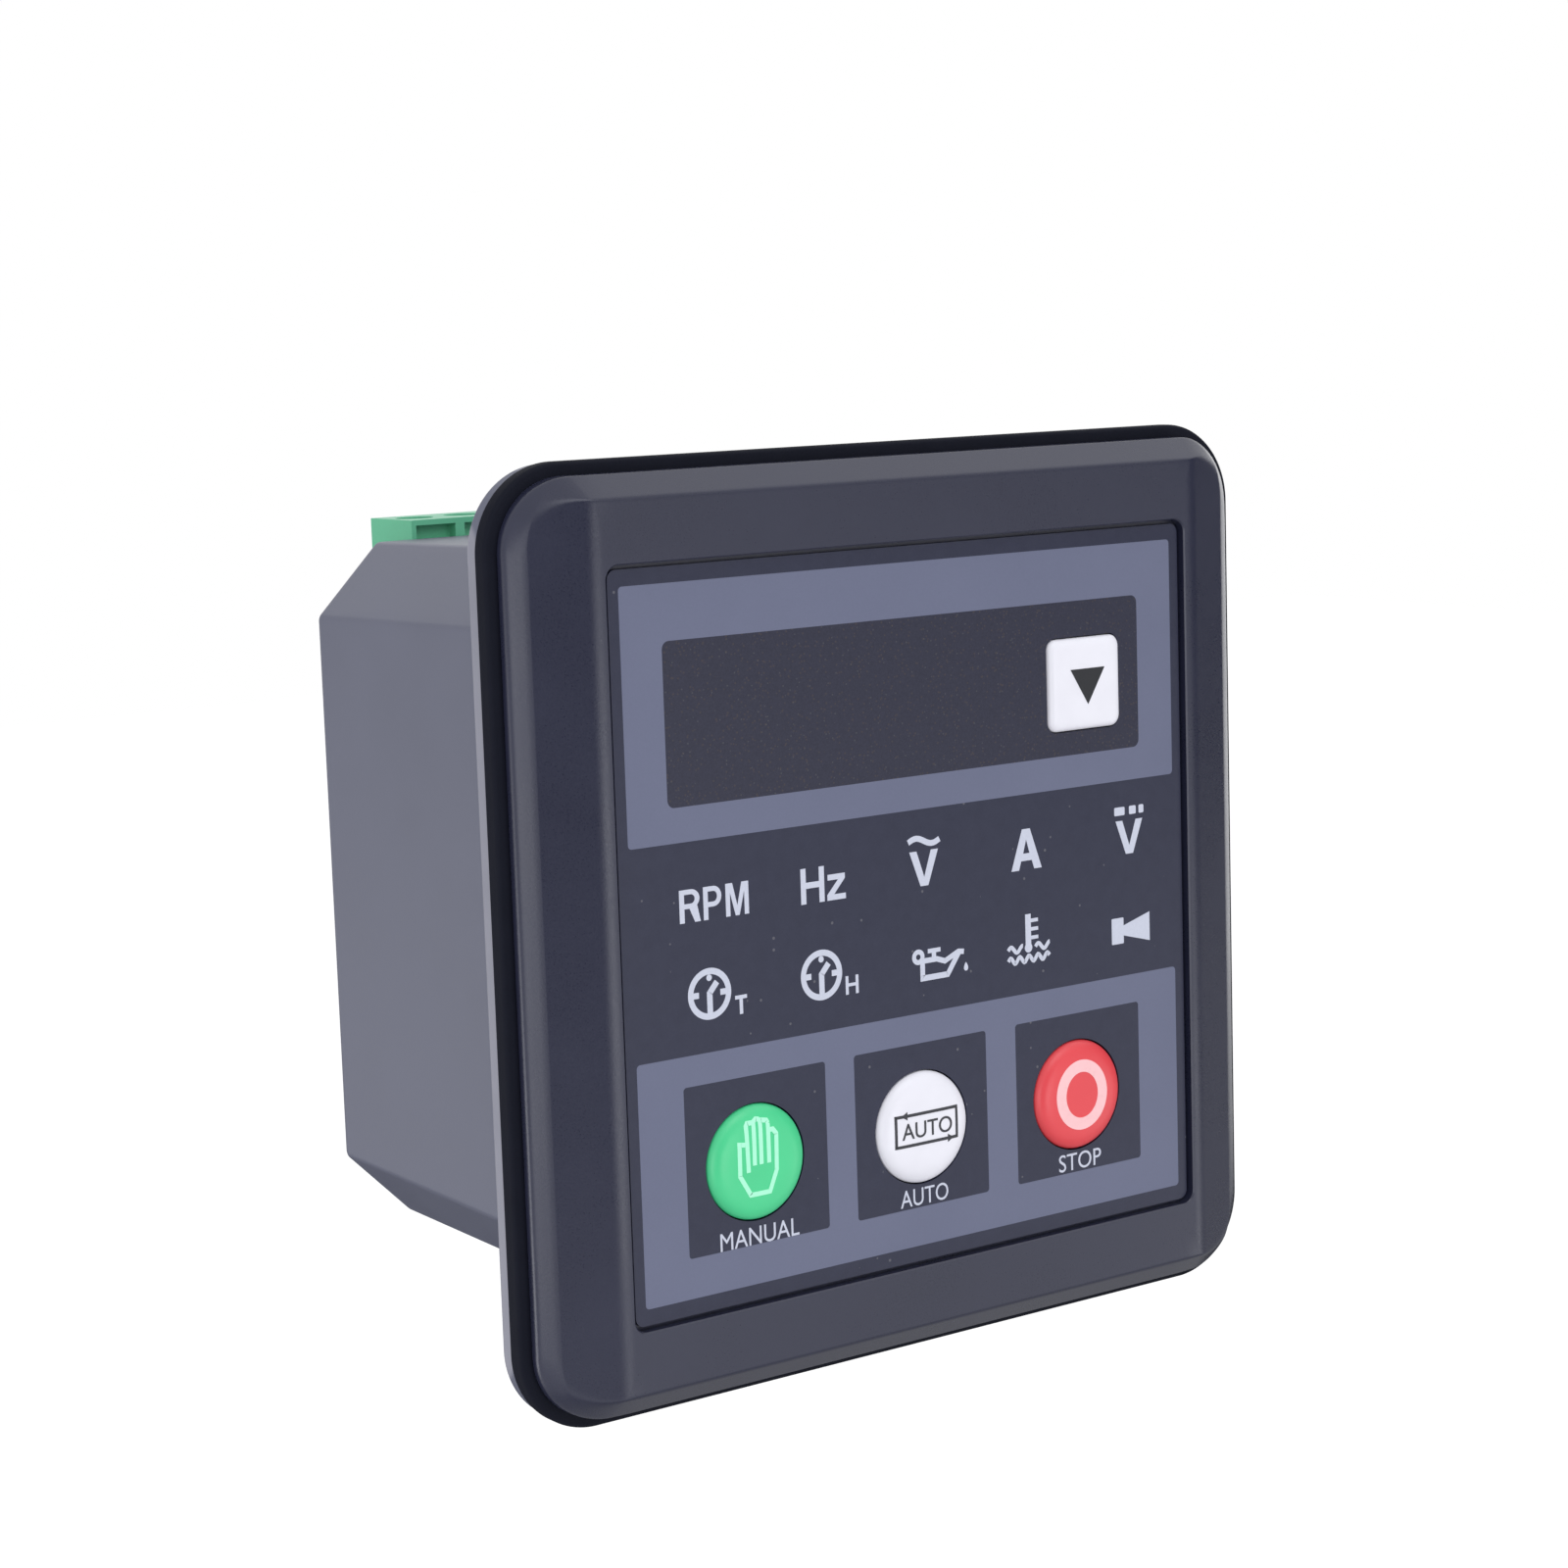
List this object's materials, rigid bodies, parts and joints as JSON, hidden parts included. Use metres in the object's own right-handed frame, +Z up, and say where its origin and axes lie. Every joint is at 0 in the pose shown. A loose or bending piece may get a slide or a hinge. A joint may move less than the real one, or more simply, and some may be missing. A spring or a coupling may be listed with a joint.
{
  "type": "genset controller",
  "caption": "Square panel-mounted generator controller with a sloped bezel, dark display window, sprung keys, a drafted rear housing and plug-in screw terminals.",
  "frame": {"origin": "centre of the flange's rear face, which seats on the panel", "axes": "+Y through the panel to the back, so the front faces -Y; +Z up; +X to the right seen from the front"},
  "size_m": [0.078, 0.0553, 0.078],
  "materials": {
    "bezel_plastic": "satin",
    "overlay_film": "fine grain",
    "gasket_rubber": "matte",
    "housing_plastic": "satin",
    "green_key": "satin",
    "white_key": "satin",
    "red_key": "satin",
    "black_plastic": "satin",
    "switch_case": "brushed",
    "circuit_board": "satin",
    "display_case": "matte",
    "lamp_plastic": "clear",
    "pin_metal": "plated",
    "spacer_brass": "turned",
    "screw_steel": "zinc plated",
    "capacitor_can": "sleeved",
    "terminal_plastic": "satin"
  },
  "bodies": {
    "controller": {"front_bezel": "bezel_plastic", "overlay": "overlay_film", "gasket": "gasket_rubber", "rear_housing": "housing_plastic", "manual_switch": "switch_case", "auto_switch": "switch_case", "stop_switch": "switch_case", "scroll_switch": "switch_case", "display_board": "circuit_board", "led_display": "display_case", "indicator_lamps": "lamp_plastic", "controller_chip": "black_plastic", "link_pins": "pin_metal", "link_socket": "black_plastic", "board_spacers": "spacer_brass", "board_screws": "screw_steel", "main_board": "circuit_board", "start_relay": "black_plastic", "fuel_relay": "black_plastic", "alarm_relay": "black_plastic", "filter_capacitors": "capacitor_can", "upper_header": "terminal_plastic", "lower_header": "terminal_plastic", "upper_header_pins": "pin_metal", "lower_header_pins": "pin_metal", "upper_plug": "terminal_plastic", "lower_plug": "terminal_plastic", "upper_clamps": "screw_steel", "lower_clamps": "screw_steel", "upper_terminal_screws": "screw_steel", "lower_terminal_screws": "screw_steel"},
    "manual_key": {"manual_button": "green_key", "manual_plunger": "black_plastic"},
    "auto_key": {"auto_button": "white_key", "auto_plunger": "black_plastic"},
    "stop_key": {"stop_button": "red_key", "stop_plunger": "black_plastic"},
    "scroll_key": {"scroll_button": "white_key", "scroll_plunger": "black_plastic"}
  },
  "joints": [
    {"name": "manual_press", "type": "slide", "parent": "controller", "child": "manual_key", "axis": [0, 1, 0], "range_m": [0, 0.0005], "stiffness_N_per_m": 3000},
    {"name": "auto_press", "type": "slide", "parent": "controller", "child": "auto_key", "axis": [0, 1, 0], "range_m": [0, 0.0005], "stiffness_N_per_m": 3000},
    {"name": "stop_press", "type": "slide", "parent": "controller", "child": "stop_key", "axis": [0, 1, 0], "range_m": [0, 0.0005], "stiffness_N_per_m": 3000},
    {"name": "scroll_press", "type": "slide", "parent": "controller", "child": "scroll_key", "axis": [0, 1, 0], "range_m": [0, 0.0005], "stiffness_N_per_m": 3000}
  ]
}
